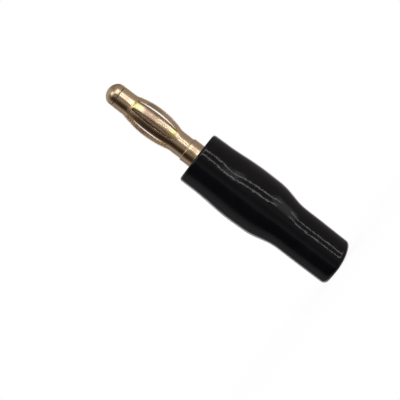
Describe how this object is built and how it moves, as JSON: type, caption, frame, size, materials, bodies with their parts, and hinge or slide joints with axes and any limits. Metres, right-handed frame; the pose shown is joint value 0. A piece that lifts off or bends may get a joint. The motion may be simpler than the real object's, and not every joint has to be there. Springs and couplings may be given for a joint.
{
  "type": "banana plug",
  "caption": "Banana plug with a gold-plated lantern-spring pin for 4 mm sockets, a screw-clamped wire bore and a soft black boot.",
  "frame": {"origin": "middle of the boot's flat rear end, where the plug stands", "axes": "+Z along the plug's axis towards the pin's tip, -Y towards the viewer of the picture"},
  "size_m": [0.0102, 0.0102, 0.0475],
  "materials": {
    "soft_pvc": "glossy soft PVC, black",
    "gold_plating": "polished gold plating on turned brass",
    "spring_gold": "polished gold plating on spring sheet",
    "screw_steel": "plated steel"
  },
  "bodies": {
    "boot": {"boot": "soft_pvc"},
    "contact": {"contact_body": "gold_plating"},
    "spring": {"lantern_spring": "spring_gold"},
    "screw": {"clamp_screw": "screw_steel"}
  },
  "joints": [
    {"name": "boot_pull", "type": "slide", "parent": "boot", "child": "contact", "axis": [0, 0, 1], "range_m": [0, 0.0125]},
    {"name": "spring_spin", "type": "hinge", "parent": "contact", "child": "spring", "pos_m": [0, 0, 0.03837], "axis": [0, 0, 1], "continuous": true},
    {"name": "screw_drive", "type": "slide", "parent": "contact", "child": "screw", "axis": [0, 1, 0], "range_m": [0, 0.0012]}
  ]
}
